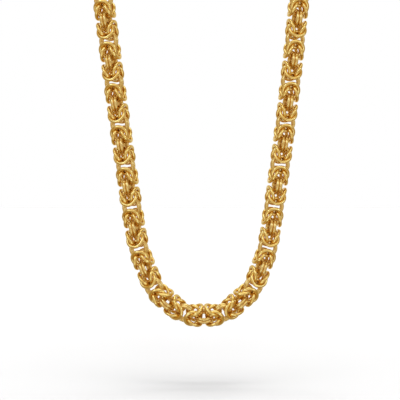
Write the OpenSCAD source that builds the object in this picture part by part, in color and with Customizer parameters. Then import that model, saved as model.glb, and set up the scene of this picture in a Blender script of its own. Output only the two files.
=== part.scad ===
// Byzantine chain necklace: six equal round links repeat all the way round the loop.
// A unit is a pair of connector links, then a knot of two pairs that are folded back
// through each other, and each unit is turned a quarter turn from the one before.

/* [Links] */
// Wire thickness of every link
wire_d = 1.2; // [1:0.05:1.2]
// Clear bore of every link
link_bore = 5.4; // [5.4:0.1:5.7]
// Twist of the chain about its own line on the left strand, degrees
twist_left = 20; // [15:1:24]
// Twist of the chain about its own line on the right strand, degrees
twist_right = 12; // [8:1:18]
// Further twist where the chain turns at the bottom, degrees
twist_bottom = 16; // [14:1:18]

/* [Front] */
// Distance from the nape forward to the hanging front of the loop
front_depth = 88; // [84:1:92]
// Height from the top ends of the linked front up to the nape
nape_rise = 35; // [30:1:40]
// Steepness of the left strand at its top end, degrees from level
left_top_slope = 83; // [82:0.5:84]
// Steepness of the right strand at its top end, degrees from level
right_top_slope = 85; // [84:0.5:86]

/* [Back] */
// Diameter of the plain stretch that goes round the neck out of sight
back_d = 8; // [7:0.5:8]
// How far each strand rises before it turns back round the neck
neck_rise = 46; // [40:1:50]
// How far the loop stays wide before it turns in behind the neck
nape_spread = 50; // [44:1:56]

/* [Clasp] */
// Diameter of the clasp's barrel
barrel_d = 5; // [4:0.5:6]
// Length of the clasp's barrel
barrel_l = 12; // [11:0.5:13]

/* [Hidden] */

gold = [0.87, 0.65, 0.27];
link_r = (link_bore + wire_d) / 2;
round_steps = 48;

// Straight weave, in link radii: half the gap of a pair of connectors, how far a knot
// link sits off the line and beyond its connector, its lean, and one unit's length.
pair_half = 0.2073 * link_r;
knot_side = 0.647 * link_r;
knot_step = 1.389 * link_r;
knot_lean = 24;
pitch = 2.623 * link_r;

// Slack that a knot takes up beside an edge-on connector, for each side's full turn:
// the near pair closes in, the far pair spreads on the inside and tucks on the outside.
full_turn = 21.5;
near_in = 0.089 * link_r;
near_close = 0.082 * link_r;
near_upright = 2.7;
far_inner_out = 0.065 * link_r;
far_inner_side = 0.246 * link_r;
far_inner_lean = 29.5;
far_outer_in = 0.192 * link_r;
far_outer_close = 0.161 * link_r;
far_outer_upright = 13.9;
hinge_in = 0.27 * link_r;
next_in = 0.171 * link_r;

// Slope of the lowest knots on each side, degrees from level, lowest first.
low_left = [18, 27, 53, 65, 72, 79, 81.5];
low_right = [19, 28, 54, 65, 74, 81];
side_units = 18;
twist_half_span = 5;

// A direction in the front plane and its frame: outer side, depth and chain line.
function line_frame(slope) =
    let (d = [cos(slope), 0, sin(slope)], o = [sin(slope), 0, -cos(slope)])
    [o, cross(d, o), d];
function turn_frame(f, a) = [cos(a) * f[0] + sin(a) * f[1], cos(a) * f[1] - sin(a) * f[0], f[2]];
function in_frame(f, v) = v[0] * f[0] + v[1] * f[1] + v[2] * f[2];

// Slope of knot i, counted from the bottom of the loop; negative i is on the left.
function strand_slope(i, low, top) =
    let (last = len(low) - 1)
    i <= last ? low[i] : low[last] + (top - low[last]) * (i - last) / (side_units - 1 - last);
function knot_slope(i) =
    i < 0 ? -strand_slope(-1 - i, low_left, left_top_slope)
          : strand_slope(i, low_right, right_top_slope);
function link_slope(k) =
    k <= -side_units ? knot_slope(-side_units)
  : k >= side_units ? knot_slope(side_units - 1)
  : (knot_slope(k - 1) + knot_slope(k)) / 2;
function twist_at(u) =
    let (t = min(1, max(0, (u + twist_half_span) / (2 * twist_half_span))))
    twist_left + (twist_right - twist_left) * t
    + twist_bottom * max(0, 1 - abs(u) / twist_half_span);

function edge_frame(slope, u) = turn_frame(line_frame(slope), twist_at(u) + 90);
function face_frame(slope, u) = turn_frame(line_frame(slope), twist_at(u));

// A link is [centre, normal]. A pair of connectors sits either side of the line.
function connector_pair(p, f) = [for (s = [-1, 1]) [p + s * pair_half * f[1], f[1]]];

// The knot next to the edge-on connector e: side is 1 after it and -1 before it.
// Its turn, as a share of a full turn, sets how much of the slack above it takes up.
function knot_turn(e, side) =
    abs(knot_slope(side > 0 ? e : e - 1) - link_slope(e)) / full_turn;
function knot_frame(e, side) =
    edge_frame(knot_slope(side > 0 ? e : e - 1), e + side / 2);
function knot_point(e, side, v) =
    let (
        hinge = [0, 0, side * (knot_step - hinge_in * knot_turn(e, side))]
    )
    in_frame(edge_frame(link_slope(e), e), hinge) + in_frame(knot_frame(e, side), v - hinge);
function next_centre(e, side) =
    knot_point(e, side, [0, 0, side * (pitch - next_in * knot_turn(e, side))]);

function near_pair(e, side) =
    let (
        turn = knot_turn(e, side),
        f = knot_frame(e, side),
        lean = knot_lean - near_upright * turn,
        off = knot_side - near_close * turn,
        up = side * (knot_step - near_in * turn)
    )
    [for (s = [-1, 1])
        [knot_point(e, side, [s * off, 0, up]),
         in_frame(f, [s * cos(lean), 0, -side * sin(lean)])]];

function far_pair(e, side) =
    let (
        turn = knot_turn(e, side),
        f = knot_frame(e, side),
        base_up = pitch - knot_step
    )
    [for (s = [-1, 1])
        let (
            inner = s > 0,
            lean = knot_lean + turn * (inner ? far_inner_lean : -far_outer_upright),
            off = knot_side + turn * (inner ? far_inner_side : -far_outer_close),
            up = side * (base_up + turn * (inner ? far_inner_out : -far_outer_in))
        )
        [knot_point(e, side, [0, s * off, up]),
         in_frame(f, [0, s * cos(lean), side * sin(lean)])]];

// Centres of the edge-on connectors, worked out from the lowest one to both sides.
function edge_centre(e) =
    e == 0 ? [0, 0, 0]
  : e > 0 ? edge_centre(e - 2) + next_centre(e - 2, 1) - next_centre(e, -1)
  : edge_centre(e + 2) + next_centre(e + 2, -1) - next_centre(e, 1);

left_end = edge_centre(-side_units);
right_end = edge_centre(side_units);
front_shift = [
    -(left_end[0] + right_end[0]) / 2,
    -front_depth,
    -nape_rise - (left_end[2] + right_end[2]) / 2
];

function moved(links, p) = [for (l = links) [l[0] + p, l[1]]];

function links_at(e) =
    let (p = edge_centre(e) + front_shift)
    concat(
        connector_pair(p, edge_frame(link_slope(e), e)),
        e < side_units ? moved(concat(near_pair(e, 1), far_pair(e, 1)), p) : [],
        e > -side_units ? moved(concat(near_pair(e, -1), far_pair(e, -1)), p) : [],
        e < side_units
            ? connector_pair(p + next_centre(e, 1), face_frame(link_slope(e + 1), e + 1))
            : []
    );

front_links = [for (e = [-side_units : 2 : side_units]) each links_at(e)];

module link(centre, normal, ring_r = link_r) {
    translate(centre)
        rotate([0, acos(normal[2]), atan2(normal[1], normal[0])])
            rotate_extrude($fn = round_steps)
                translate([ring_r, 0])
                    circle(d = wire_d, $fn = round_steps);
}

// Clasp and jump rings, laid out along the nape from the middle outwards.
eye_r = 1.85;
eye_x = barrel_l / 2 + eye_r;
jump_r = 3.05;
play = 0.3;
jump_x = eye_x + eye_r + jump_r - wire_d - play;
last_link_x = jump_x + jump_r + link_r - wire_d - play;
back_start_x = last_link_x + link_r + wire_d / 2 + play;

// The back runs on from each strand's top end, round the side of the neck to the nape.
back_steps = 9;
back_sides = 12;
function top_point(side) = (side < 0 ? left_end : right_end) + front_shift;
function top_line(side) =
    let (slope = side < 0 ? 180 - left_top_slope : right_top_slope)
    [cos(slope), 0, sin(slope)];
end_gap = link_r + wire_d / 2 + play;
function back_knots(side) =
    let (p = top_point(side), d = top_line(side))
    [p + end_gap * d, p + (end_gap + neck_rise) * d,
     [side * (back_start_x + nape_spread), 0, 0], [side * back_start_x, 0, 0]];
function on_curve(k, t) =
    pow(1 - t, 3) * k[0] + 3 * pow(1 - t, 2) * t * k[1]
    + 3 * (1 - t) * pow(t, 2) * k[2] + pow(t, 3) * k[3];
function curve_line(k, t) =
    let (
        v = pow(1 - t, 2) * (k[1] - k[0]) + 2 * (1 - t) * t * (k[2] - k[1])
            + pow(t, 2) * (k[3] - k[2])
    )
    v / norm(v);
function square_to(v, d) = let (w = v - (v * d) * d) w / norm(w);

module back_tube(side) {
    k = back_knots(side);
    rings = [for (i = [0 : back_steps])
        let (
            t = i / back_steps,
            d = curve_line(k, t),
            o = square_to([side * (1 - t), t, 0], d),
            w = cross(d, o)
        )
        [for (j = [0 : back_sides - 1])
            let (a = 360 * j / back_sides)
            on_curve(k, t) + back_d / 2 * (cos(a) * o + sin(a) * w)]];
    points = [for (r = rings) each r];
    walls = [for (i = [0 : back_steps - 1], j = [0 : back_sides - 1])
        let (n = (j + 1) % back_sides, a = i * back_sides, b = a + back_sides)
        [a + j, b + j, b + n, a + n]];
    foot = [[for (j = [0 : back_sides - 1]) j]];
    head = [[for (j = [back_sides - 1 : -1 : 0]) back_steps * back_sides + j]];
    polyhedron(points, concat(walls, foot, head));
}

module front_chain() {
    color(gold)
        for (l = front_links) link(l[0], l[1]);
}

module back_chain() {
    color(gold)
        for (side = [-1, 1]) {
            back_tube(side);
            for (l = connector_pair([side * last_link_x, 0, 0], [[0, 1, 0], [0, 0, 1], [1, 0, 0]]))
                link(l[0], l[1]);
        }
}

module left_jump_ring() {
    color(gold)
        link([-jump_x, 0, 0], [0, 1, 0], jump_r);
}

module right_jump_ring() {
    color(gold)
        link([jump_x, 0, 0], [0, 1, 0], jump_r);
}

module clasp() {
    color(gold)
        union() {
            rotate([0, 90, 0])
                rotate_extrude($fn = round_steps)
                    polygon([
                        [0, -barrel_l / 2], [barrel_d / 4, -barrel_l / 2],
                        [barrel_d / 2, -barrel_l / 2 + barrel_d / 4],
                        [barrel_d / 2, barrel_l / 2 - barrel_d / 4],
                        [barrel_d / 4, barrel_l / 2], [0, barrel_l / 2]
                    ]);
            for (side = [-1, 1]) link([side * eye_x, 0, 0], [0, 0, 1], eye_r);
        }
}

front_chain();
back_chain();
left_jump_ring();
right_jump_ring();
clasp();
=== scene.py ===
import math

import bpy
import numpy as np
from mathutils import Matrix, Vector


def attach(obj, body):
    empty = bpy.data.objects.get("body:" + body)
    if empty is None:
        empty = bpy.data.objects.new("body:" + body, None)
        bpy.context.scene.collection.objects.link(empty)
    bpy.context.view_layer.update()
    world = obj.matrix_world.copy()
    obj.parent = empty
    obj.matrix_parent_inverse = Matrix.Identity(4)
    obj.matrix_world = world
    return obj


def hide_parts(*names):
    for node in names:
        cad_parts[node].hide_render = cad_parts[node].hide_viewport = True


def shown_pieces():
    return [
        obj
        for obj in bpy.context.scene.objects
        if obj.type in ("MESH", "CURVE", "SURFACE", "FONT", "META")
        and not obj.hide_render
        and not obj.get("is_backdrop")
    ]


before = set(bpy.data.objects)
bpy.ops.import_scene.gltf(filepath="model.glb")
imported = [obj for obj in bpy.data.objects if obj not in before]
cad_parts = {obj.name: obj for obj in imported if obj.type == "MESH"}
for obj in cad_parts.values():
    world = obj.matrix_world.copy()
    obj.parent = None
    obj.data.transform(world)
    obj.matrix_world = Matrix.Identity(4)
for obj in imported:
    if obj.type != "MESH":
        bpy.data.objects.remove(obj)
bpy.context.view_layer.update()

MM = 0.001

# Sizes of the solids, in millimetres, and their slopes and twists, in degrees.
LINK_R = 3.3
SOLID_WIRE_D = 1.2
FRONT_DEPTH = 88
NAPE_RISE = 35
NECK_RISE = 46
NAPE_SPREAD = 50
TWIST_LEFT = 20
TWIST_RIGHT = 12
TWIST_BOTTOM = 16
TOP_SLOPE = {-1: 83, 1: 85}
BARREL_L = 12
EYE_R = 1.85
JUMP_R = 3.05
PLAY = 0.3
EYE_X = BARREL_L / 2 + EYE_R
JUMP_X = EYE_X + EYE_R + JUMP_R - SOLID_WIRE_D - PLAY
LAST_LINK_X = JUMP_X + JUMP_R + LINK_R - SOLID_WIRE_D - PLAY
END_GAP = LINK_R + SOLID_WIRE_D / 2 + PLAY
BACK_START_X = LAST_LINK_X + END_GAP

# The wire as the photograph shows it. The solids have it a hair thinner, to stay apart.
WIRE_D = 1.4
RING_STEPS = 48
WIRE_STEPS = 14

# The straight weave, in link radii.
PAIR_HALF = 0.2073
KNOT_SIDE = 0.647
KNOT_STEP = 1.389
KNOT_LEAN = 24
PITCH = 2.623

# Slack that a knot takes up beside an edge-on connector at a full turn.
FULL_TURN = 21.5
NEAR_IN = 0.089
NEAR_CLOSE = 0.082
NEAR_UPRIGHT = 2.7
FAR_INNER_OUT = 0.065
FAR_INNER_SIDE = 0.246
FAR_INNER_LEAN = 29.5
FAR_OUTER_IN = 0.192
FAR_OUTER_CLOSE = 0.161
FAR_OUTER_UPRIGHT = 13.9
HINGE_IN = 0.27
NEXT_IN = 0.171

# Slopes of the lowest knots on each side, lowest first.
LOW_SLOPES = {-1: (18, 27, 53, 65, 72, 79, 81.5), 1: (19, 28, 54, 65, 74, 81)}
SIDE_UNITS = 18
BACK_UNITS = 15
TWIST_HALF_SPAN = 5
CURVE_STEPS = 600

# Easing of the hidden links, so that no wire meets another round the neck. Links of the
# front within SETTLE_NEAR of its top end hold still.
SETTLE_GAP = 1.4
SETTLE_REACH = 2.4
SETTLE_NEAR = 5 * LINK_R
SETTLE_SAMPLES = 48
SETTLE_ROUNDS = 90
SETTLE_EASE = 0.9
SETTLE_INERTIA = 0.6

# The photograph's frame: where the lowest connector shows, and one pixel at the front.
FRAME_PX = 400
LOWEST_PX = (203.9, 316.0)
PIXEL = 0.4124
LENS = 100
SENSOR = 36
NEAREST_SEEN = 10
FARTHEST_SEEN = 100000

# Gold: the scales of its blotches and wear, the drawn marks that a link has along its
# wire and round it, and their depth.
TONE_SCALE = 420
TONE_SPAN = (0.3, 0.7)
WEAR_SCALE = 1500
MARKS_ALONG = 18
MARKS_ROUND = 26
MARK_DEPTH = 0.02

# The floor is dark, and lights of its own bring it to white, so that its shadow shows.
# Softboxes here and below: name, azimuth, elevation, angle, radiance and tint.
FLOOR_Z = -203.5
FLOOR_SIZE = 20000
FLOOR_GREY = 0.06
FLOOR_ROUGHNESS = 0.9
WHITE = (1, 1, 1)
FLOOR_LIGHTS = (
    ("floor_top", 90, 89, 44, 41.5, WHITE),
    ("floor_front", 4, 65, 44, 39.7, WHITE),
    ("floor_back", 176, 65, 44, 39.7, WHITE),
)

# The studio that the gold reflects: its light from the camera's own place (0) round to the
# back (1), which is scaled from straight down (0) to straight up (1), and its white wall,
# from the side (0) to straight behind the necklace (1).
SKY_LEVEL = 2.95
SKY_ROUND = (
    (0, (0.2, 0.15, 0.12)),
    (0.12, (0.46, 0.51, 0.64)),
    (0.22, (0.19, 0.135, 0.08)),
    (0.4, (0.18, 0.15, 0.11)),
    (1, 0.3),
)
SKY_RISE = ((0, 0.75), (0.5, 0.85), (1, 1))
WALL = ((0, 0), (0.8, 0), (0.94, 1 / SKY_LEVEL))
COOL = (0.31, 0.54, 1.1)
SOFTBOXES = (
    ("overhead", 0, 90, 50, 1.4, (0.75, 1.05, 1.6)),
    ("left_box", -50, 30, 20, 5.5, COOL),
    ("right_box", 55, 20, 16, 5.5, COOL),
    ("low_box", 0, -50, 20, 3.0, COOL),
)


def unit(v):
    return np.asarray(v, float) / np.linalg.norm(v)


def cos(degrees):
    return math.cos(math.radians(degrees))


def sin(degrees):
    return math.sin(math.radians(degrees))


def rolled(axes, degrees):
    o, y, d = axes
    return cos(degrees) * o + sin(degrees) * y, cos(degrees) * y - sin(degrees) * o, d


def placed(axes, v):
    return v[0] * axes[0] + v[1] * axes[1] + v[2] * axes[2]


def strand_slope(i, side):
    low = LOW_SLOPES[side]
    last = len(low) - 1
    if i <= last:
        return low[i]
    return low[last] + (TOP_SLOPE[side] - low[last]) * (i - last) / (SIDE_UNITS - 1 - last)


def knot_slope(i):
    return -strand_slope(-1 - i, -1) if i < 0 else strand_slope(i, 1)


def link_slope(k):
    if k <= -SIDE_UNITS:
        return knot_slope(-SIDE_UNITS)
    if k >= SIDE_UNITS:
        return knot_slope(SIDE_UNITS - 1)
    return (knot_slope(k - 1) + knot_slope(k)) / 2


def line_axes(slope, u, quarter):
    """Outer side, depth and chain line at place u of the front, with the chain's twist."""
    d = np.array([cos(slope), 0, sin(slope)])
    o = np.array([sin(slope), 0, -cos(slope)])
    t = min(1, max(0, (u + TWIST_HALF_SPAN) / (2 * TWIST_HALF_SPAN)))
    twist = TWIST_LEFT + (TWIST_RIGHT - TWIST_LEFT) * t
    twist += TWIST_BOTTOM * max(0, 1 - abs(u) / TWIST_HALF_SPAN)
    return rolled((o, np.cross(d, o), d), twist + quarter)


def connector_pair(p, axes):
    return [(p + s * PAIR_HALF * LINK_R * axes[1], axes[1]) for s in (-1, 1)]


class Knot:
    """The knot after (side 1) or before (side -1) the edge-on connector e of the front."""

    def __init__(self, e, side):
        slope = knot_slope(e if side > 0 else e - 1)
        self.side = side
        self.turn = abs(slope - link_slope(e)) / FULL_TURN
        self.axes = line_axes(slope, e + side / 2, 90)
        self.hinge = np.array([0, 0, side * (KNOT_STEP - HINGE_IN * self.turn)])
        self.foot = placed(line_axes(link_slope(e), e, 90), self.hinge)

    def point(self, x, y, up):
        v = np.array([x, y, self.side * up])
        return LINK_R * (self.foot + placed(self.axes, v - self.hinge))

    def next_centre(self):
        return self.point(0, 0, PITCH - NEXT_IN * self.turn)

    def links(self):
        made = []
        lean = KNOT_LEAN - NEAR_UPRIGHT * self.turn
        off = KNOT_SIDE - NEAR_CLOSE * self.turn
        for s in (-1, 1):
            centre = self.point(s * off, 0, KNOT_STEP - NEAR_IN * self.turn)
            made.append((centre, placed(self.axes, (s * cos(lean), 0, -self.side * sin(lean)))))
        for s, lean_by, off_by, up_by in (
            (-1, -FAR_OUTER_UPRIGHT, -FAR_OUTER_CLOSE, -FAR_OUTER_IN),
            (1, FAR_INNER_LEAN, FAR_INNER_SIDE, FAR_INNER_OUT),
        ):
            lean = KNOT_LEAN + self.turn * lean_by
            off = KNOT_SIDE + self.turn * off_by
            centre = self.point(0, s * off, PITCH - KNOT_STEP + self.turn * up_by)
            made.append((centre, placed(self.axes, (0, s * cos(lean), self.side * sin(lean)))))
        return made


def edge_centres():
    """Centres of the edge-on connectors of the front, by number."""
    found = {0: np.zeros(3)}
    for side in (-1, 1):
        for e in range(0, side * SIDE_UNITS, side * 2):
            after = found[e] + Knot(e, side).next_centre()
            found[e + side * 2] = after - Knot(e + side * 2, -side).next_centre()
    ends = (found[-SIDE_UNITS] + found[SIDE_UNITS]) / 2
    shift = np.array([-ends[0], -FRONT_DEPTH, -NAPE_RISE - ends[2]])
    return {e: p + shift for e, p in found.items()}


def front_links(centres, side):
    """Connector links and knot links of one strand. The right one has the lowest connector."""
    connectors, knots = [], []
    for e in range(0, side * (SIDE_UNITS + 1), side * 2):
        p = centres[e]
        if e or side > 0:
            connectors += connector_pair(p, line_axes(link_slope(e), e, 90))
        if e:
            knots += [(p + c, n) for c, n in Knot(e, -side).links()]
        if e != side * SIDE_UNITS:
            knot = Knot(e, side)
            knots += [(p + c, n) for c, n in knot.links()]
            axes = line_axes(link_slope(e + side), e + side, 0)
            connectors += connector_pair(p + knot.next_centre(), axes)
    return connectors, knots


def hidden_joints(centres, side):
    """Connector places round the neck, from the front's top end to the last pair, evenly spaced."""
    slope = TOP_SLOPE[side] if side > 0 else 180 - TOP_SLOPE[side]
    p = centres[side * SIDE_UNITS]
    d = np.array([cos(slope), 0, sin(slope)])
    k = [
        p + END_GAP * d,
        p + (END_GAP + NECK_RISE) * d,
        np.array([side * (BACK_START_X + NAPE_SPREAD), 0, 0]),
        np.array([side * BACK_START_X, 0, 0]),
    ]
    t = np.linspace(0, 1, CURVE_STEPS + 1)[:, None]
    start, end = (1 - t) ** 3 * k[0], t**3 * k[3]
    curve = start + 3 * (1 - t) ** 2 * t * k[1] + 3 * (1 - t) * t**2 * k[2] + end
    path = np.vstack([p, curve, [side * LAST_LINK_X, 0, 0]])
    lengths = np.linalg.norm(np.diff(path, axis=0), axis=1)
    along = np.concatenate([[0], np.cumsum(lengths)])
    stops = np.linspace(0, along[-1], BACK_UNITS + 1)
    return np.array([[np.interp(s, along, path[:, i]) for i in range(3)] for s in stops])


def hidden_links(centres, side):
    """Connector links and knot links of one side of the hidden stretch, before they settle."""
    joints = hidden_joints(centres, side)
    roll_start = TWIST_RIGHT if side > 0 else -TWIST_LEFT
    aside = KNOT_SIDE * LINK_R
    from_middle = (KNOT_STEP - PITCH / 2) * LINK_R

    def axes_at(j, d, odd):
        share = j / BACK_UNITS
        o = np.array([side * (1 - share), share, 0])
        o = unit(o - o @ d * d)
        return rolled((o, np.cross(d, o), d), roll_start * (1 - share) + (0 if odd else 90))

    connectors, knots = [], []
    for j in range(BACK_UNITS):
        chord = unit(joints[j + 1] - joints[j])
        if j:
            before = unit(joints[j] - joints[j - 1])
            connectors += connector_pair(joints[j], axes_at(j, unit(chord + before), j % 2))
        axes = axes_at(j + 0.5, chord, j % 2)
        middle = (joints[j] + joints[j + 1]) / 2
        for s in (-1, 1):
            for place, normal in (
                ((s * aside, 0, from_middle), (s * cos(KNOT_LEAN), 0, -sin(KNOT_LEAN))),
                ((0, s * aside, -from_middle), (0, s * cos(KNOT_LEAN), sin(KNOT_LEAN))),
            ):
                knots.append((middle + placed(axes, place), placed(axes, normal)))
    level = (np.array([0, 1, 0]), np.array([0, 0, 1]), np.array([1, 0, 0]))
    return connectors, knots, connector_pair(np.array([side * LAST_LINK_X, 0, 0]), level)


def ring_axes(normal):
    """Two axes square to each normal."""
    flat = np.where(np.abs(normal[:, :1]) < 0.8, [[1.0, 0, 0]], [[0, 1.0, 0]])
    u = np.cross(normal, flat)
    u /= np.linalg.norm(u, axis=1, keepdims=True)
    return u, np.cross(normal, u)


def settled(links, radii, fixed):
    """Eases links apart where their wires come closer than SETTLE_GAP; fixed ones stay."""
    centre = np.array([c for c, n in links], float)
    normal = np.array([unit(n) for c, n in links])
    radii = np.array(radii, float)
    fixed = np.array(fixed, bool)
    apart = np.linalg.norm(centre[:, None] - centre[None], axis=2)
    a, b = np.where(apart < 2 * LINK_R + SETTLE_REACH)
    keep = (a != b) & ~(fixed[a] & fixed[b])
    a, b = a[keep], b[keep]
    turn = np.linspace(0, 2 * math.pi, SETTLE_SAMPLES, endpoint=False)[None, :, None]
    for _ in range(SETTLE_ROUNDS):
        u, v = ring_axes(normal)
        arm = (radii[:, None, None] * (np.cos(turn) * u[:, None] + np.sin(turn) * v[:, None]))[a]
        rel = centre[a][:, None] + arm - centre[b][:, None]
        axis = normal[b][:, None]
        flat = rel - np.sum(rel * axis, axis=2, keepdims=True) * axis
        other = radii[b][:, None, None] * flat / np.linalg.norm(flat, axis=2, keepdims=True)
        gap = rel - other
        length = np.linalg.norm(gap, axis=2, keepdims=True)
        short = np.clip(SETTLE_GAP - length, 0, None)
        push = short * gap / length
        move, spin, hits = np.zeros_like(centre), np.zeros_like(centre), np.zeros(len(centre))
        for who, sign, lever in ((a, 1, arm), (b, -1, other)):
            np.add.at(move, who, sign * push.sum(1))
            np.add.at(spin, who, sign * np.cross(lever, push).sum(1))
            np.add.at(hits, who, (short[..., 0] > 0).sum(1))
        free = ~fixed & (hits > 0)
        centre[free] += SETTLE_EASE * move[free] / hits[free, None]
        inertia = SETTLE_INERTIA * hits[free, None] * radii[free, None] ** 2
        normal[free] += SETTLE_EASE * np.cross(spin[free] / inertia, normal[free])
        normal /= np.linalg.norm(normal, axis=1, keepdims=True)
    return list(zip(centre, normal))


def back_links(centres, side):
    connectors, knots, last = hidden_links(centres, side)
    end = centres[side * SIDE_UNITS]
    front = [n for kind in front_links(centres, side) for n in kind]
    neighbours = [link for link in front if np.linalg.norm(link[0] - end) < SETTLE_NEAR]
    jump = (np.array([side * JUMP_X, 0, 0]), np.array([0, 1.0, 0]))
    free = connectors + knots
    links = free + last + neighbours + [jump]
    radii = [LINK_R] * (len(links) - 1) + [JUMP_R]
    fixed = [False] * len(free) + [True] * (len(links) - len(free))
    made = settled(links, radii, fixed)[: len(free)]
    return made[: len(connectors)] + last, made[len(connectors) :]


def link_object(name, connectors, knots, materials):
    """One joined mesh of round links. Connectors take the first material and knots the second."""
    links = connectors + knots
    centre = np.array([c for c, n in links], float)
    normal = np.array([unit(n) for c, n in links])
    u, v = ring_axes(normal)
    around = np.linspace(0, 2 * math.pi, RING_STEPS, endpoint=False)
    tube = np.linspace(0, 2 * math.pi, WIRE_STEPS, endpoint=False)
    out = np.cos(around)[None, :, None] * u[:, None] + np.sin(around)[None, :, None] * v[:, None]
    reach = LINK_R + WIRE_D / 2 * np.cos(tube)
    lift = WIRE_D / 2 * np.sin(tube)
    verts = (
        centre[:, None, None]
        + out[:, :, None] * reach[None, None, :, None]
        + normal[:, None, None] * lift[None, None, :, None]
    )
    grid = np.stack(np.indices((RING_STEPS, WIRE_STEPS)), axis=-1).reshape(-1, 1, 2)
    corners = grid + ((0, 0), (1, 0), (1, 1), (0, 1))
    wrapped = corners % (RING_STEPS, WIRE_STEPS)
    quads = wrapped[..., 0] * WIRE_STEPS + wrapped[..., 1]
    per_link = RING_STEPS * WIRE_STEPS
    faces = (quads[None] + (np.arange(len(links)) * per_link)[:, None, None]).reshape(-1, 4)
    mesh = bpy.data.meshes.new(name)
    mesh.from_pydata((verts.reshape(-1, 3) * MM).tolist(), [], faces.tolist())
    mesh.shade_smooth()
    for material in materials:
        mesh.materials.append(material)
    slots = np.repeat([0] * len(connectors) + [1] * len(knots), per_link).astype(np.int32)
    mesh.polygons.foreach_set("material_index", slots)
    unrolled = (corners / (RING_STEPS, WIRE_STEPS)).reshape(-1, 2)
    layer = mesh.uv_layers.new(name="wire")
    layer.data.foreach_set("uv", np.tile(unrolled, (len(links), 1)).astype(np.float32).ravel())
    mesh.update()
    piece = bpy.data.objects.new(name, mesh)
    bpy.context.scene.collection.objects.link(piece)
    return piece


def node(tree, kind, **values):
    made = tree.nodes.new(kind)
    for key, value in values.items():
        setattr(made, key, value)
    return made


def gold(name, base, deep, roughness, spread, grain):
    """Polished gold whose tone and gloss vary softly, with fine drawn marks along the wire."""
    material = bpy.data.materials.new(name)
    material.use_nodes = True
    tree = material.node_tree
    tree.nodes.clear()
    output = node(tree, "ShaderNodeOutputMaterial")
    shader = node(tree, "ShaderNodeBsdfPrincipled")
    shader.inputs["Metallic"].default_value = 1.0
    tree.links.new(shader.outputs[0], output.inputs["Surface"])
    place = node(tree, "ShaderNodeTexCoord")

    tone = node(tree, "ShaderNodeTexNoise")
    tone.inputs["Scale"].default_value = TONE_SCALE
    tone.inputs["Detail"].default_value = 4
    tree.links.new(place.outputs["Object"], tone.inputs["Vector"])
    ramp = node(tree, "ShaderNodeValToRGB")
    ramp.color_ramp.elements[0].position = TONE_SPAN[0]
    ramp.color_ramp.elements[0].color = (*deep, 1)
    ramp.color_ramp.elements[1].position = TONE_SPAN[1]
    ramp.color_ramp.elements[1].color = (*base, 1)
    tree.links.new(tone.outputs["Fac"], ramp.inputs["Fac"])
    tree.links.new(ramp.outputs["Color"], shader.inputs["Base Color"])

    gloss = node(tree, "ShaderNodeMapRange")
    gloss.inputs["To Min"].default_value = roughness
    gloss.inputs["To Max"].default_value = roughness + spread
    wear = node(tree, "ShaderNodeTexNoise")
    wear.inputs["Scale"].default_value = WEAR_SCALE
    wear.inputs["Detail"].default_value = 3
    tree.links.new(place.outputs["Object"], wear.inputs["Vector"])
    tree.links.new(wear.outputs["Fac"], gloss.inputs["Value"])
    tree.links.new(gloss.outputs["Result"], shader.inputs["Roughness"])

    stretch = node(tree, "ShaderNodeMapping")
    stretch.inputs["Scale"].default_value = (MARKS_ALONG, MARKS_ROUND, 1)
    wire = node(tree, "ShaderNodeUVMap", uv_map="wire")
    tree.links.new(wire.outputs["UV"], stretch.inputs["Vector"])
    drawn = node(tree, "ShaderNodeTexNoise")
    drawn.inputs["Scale"].default_value = 1
    drawn.inputs["Detail"].default_value = 3
    tree.links.new(stretch.outputs["Vector"], drawn.inputs["Vector"])
    bump = node(tree, "ShaderNodeBump")
    bump.inputs["Strength"].default_value = grain
    bump.inputs["Distance"].default_value = MARK_DEPTH * MM
    tree.links.new(drawn.outputs["Fac"], bump.inputs["Height"])
    tree.links.new(bump.outputs["Normal"], shader.inputs["Normal"])
    return material


def square_camera(lowest):
    """Level and square to the hanging front, with its lowest connector where the photo has it."""
    data = bpy.data.cameras.new("camera")
    data.lens = LENS
    data.sensor_width = SENSOR
    data.clip_start = NEAREST_SEEN * MM
    data.clip_end = FARTHEST_SEEN * MM
    camera = bpy.data.objects.new("camera", data)
    camera.location = Vector((
        lowest[0] - (LOWEST_PX[0] - FRAME_PX / 2) * PIXEL,
        lowest[1] - FRAME_PX * PIXEL * LENS / SENSOR,
        lowest[2] + (LOWEST_PX[1] - FRAME_PX / 2) * PIXEL,
    )) * MM
    camera.rotation_euler = (math.radians(90), 0, 0)
    bpy.context.scene.collection.objects.link(camera)
    bpy.context.scene.camera = camera


def matt_floor():
    mesh = bpy.data.meshes.new("floor")
    reach = FLOOR_SIZE / 2
    corners = ((-reach, -reach), (reach, -reach), (reach, reach), (-reach, reach))
    mesh.from_pydata([(x * MM, y * MM, FLOOR_Z * MM) for x, y in corners], [], [(0, 1, 2, 3)])
    floor = bpy.data.objects.new("floor", mesh)
    bpy.context.scene.collection.objects.link(floor)
    floor.visible_glossy = False
    floor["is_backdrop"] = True
    material = bpy.data.materials.new("stage_floor")
    material.use_nodes = True
    shader = material.node_tree.nodes["Principled BSDF"]
    shader.inputs["Base Color"].default_value = (FLOOR_GREY, FLOOR_GREY, FLOOR_GREY, 1)
    shader.inputs["Roughness"].default_value = FLOOR_ROUGHNESS
    shader.inputs["Specular IOR Level"].default_value = 0
    mesh.materials.append(material)
    return floor


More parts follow.
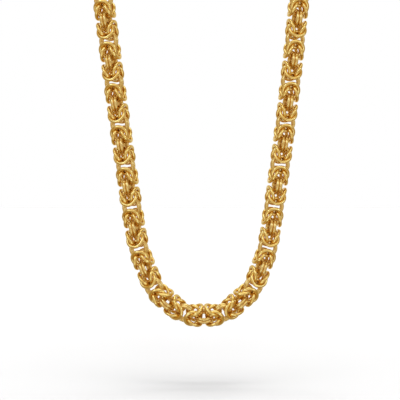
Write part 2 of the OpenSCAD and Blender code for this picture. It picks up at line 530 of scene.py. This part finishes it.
def light_ramp(tree, source, low, high, stops):
    """A ramp over source, from low to high. Each stop is a place from 0 to 1 and a grey or colour."""
    span = node(tree, "ShaderNodeMapRange")
    span.inputs["From Min"].default_value = low
    span.inputs["From Max"].default_value = high
    tree.links.new(source, span.inputs["Value"])
    ramp = node(tree, "ShaderNodeValToRGB")
    ramp.color_ramp.interpolation = "EASE"
    for place, _ in stops[1:-1]:
        ramp.color_ramp.elements.new(place)
    for element, (place, tone) in zip(ramp.color_ramp.elements, stops):
        element.position = place
        element.color = (*np.broadcast_to(tone, 3), 1)
    tree.links.new(span.outputs["Result"], ramp.inputs["Fac"])
    return ramp.outputs["Color"]


def blended(tree, blend, first, second):
    join = node(tree, "ShaderNodeMix", data_type="RGBA", blend_type=blend)
    join.inputs["Factor"].default_value = 1
    tree.links.new(first, join.inputs["A"])
    tree.links.new(second, join.inputs["B"])
    return join.outputs["Result"]


def studio_world():
    """A backdrop that the camera sees white all round, and the studio that the gold reflects."""
    world = bpy.data.worlds.new("studio")
    bpy.context.scene.world = world
    world.use_nodes = True
    tree = world.node_tree
    tree.nodes.clear()
    output = node(tree, "ShaderNodeOutputWorld")
    studio = node(tree, "ShaderNodeBackground")
    backdrop = node(tree, "ShaderNodeBackground")
    backdrop.inputs["Color"].default_value = (*WHITE, 1)
    seen = node(tree, "ShaderNodeLightPath")
    either = node(tree, "ShaderNodeMixShader")
    tree.links.new(seen.outputs["Is Camera Ray"], either.inputs[0])
    tree.links.new(studio.outputs[0], either.inputs[1])
    tree.links.new(backdrop.outputs[0], either.inputs[2])
    tree.links.new(either.outputs[0], output.inputs["Surface"])

    place = node(tree, "ShaderNodeTexCoord")
    direction = node(tree, "ShaderNodeSeparateXYZ")
    tree.links.new(place.outputs["Generated"], direction.inputs["Vector"])
    round_about = light_ramp(tree, direction.outputs["Y"], -1, 1, SKY_ROUND)
    rise = light_ramp(tree, direction.outputs["Z"], -1, 1, SKY_RISE)
    wall = light_ramp(tree, direction.outputs["Y"], 0, 1, WALL)
    light = blended(tree, "LIGHTEN", blended(tree, "MULTIPLY", round_about, rise), wall)
    tree.links.new(light, studio.inputs["Color"])
    studio.inputs["Strength"].default_value = SKY_LEVEL


def far_softbox(name, azimuth, elevation, angle, radiance, tint, receivers):
    """A round softbox far off: azimuth 0 is behind the camera and 90 to its right."""
    data = bpy.data.lights.new(name, "SUN")
    data.angle = math.radians(angle)
    data.color = tint
    data.energy = radiance * 2 * math.pi * (1 - cos(angle / 2))
    lamp = bpy.data.objects.new(name, data)
    aim = Vector((-sin(azimuth) * cos(elevation), cos(azimuth) * cos(elevation), -sin(elevation)))
    lamp.rotation_mode = "QUATERNION"
    lamp.rotation_quaternion = aim.to_track_quat("-Z", "Y")
    bpy.context.scene.collection.objects.link(lamp)
    lamp.light_linking.receiver_collection = receivers


def collection_of(name, pieces):
    made = bpy.data.collections.new(name)
    for piece in pieces:
        made.objects.link(piece)
    return made


polished = gold(
    "polished_gold", (0.93, 0.66, 0.19), (0.87, 0.56, 0.13), roughness=0.16, spread=0.04, grain=0.0
)
satin = gold(
    "satin_gold", (0.91, 0.65, 0.21), (0.83, 0.54, 0.14), roughness=0.2, spread=0.08, grain=0.05
)

centres = edge_centres()
for side, word in ((-1, "left"), (1, "right")):
    front = link_object(f"{word}_front_links", *front_links(centres, side), (satin, polished))
    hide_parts("front_chain")
    back = link_object(f"{word}_back_links", *back_links(centres, side), (satin, polished))
    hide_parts("back_chain")
    for piece in (front, back):
        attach(piece, "root")

for name in ("left_jump_ring", "right_jump_ring", "clasp"):
    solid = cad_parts[name]
    solid.data.materials.clear()
    solid.data.materials.append(polished)

square_camera(centres[0])
floor = matt_floor()
studio_world()
necklace = collection_of("necklace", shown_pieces())
ground = collection_of("ground", [floor])
for softbox in FLOOR_LIGHTS:
    far_softbox(*softbox, ground)
for softbox in SOFTBOXES:
    far_softbox(*softbox, necklace)

bpy.context.scene.view_settings.view_transform = "Standard"
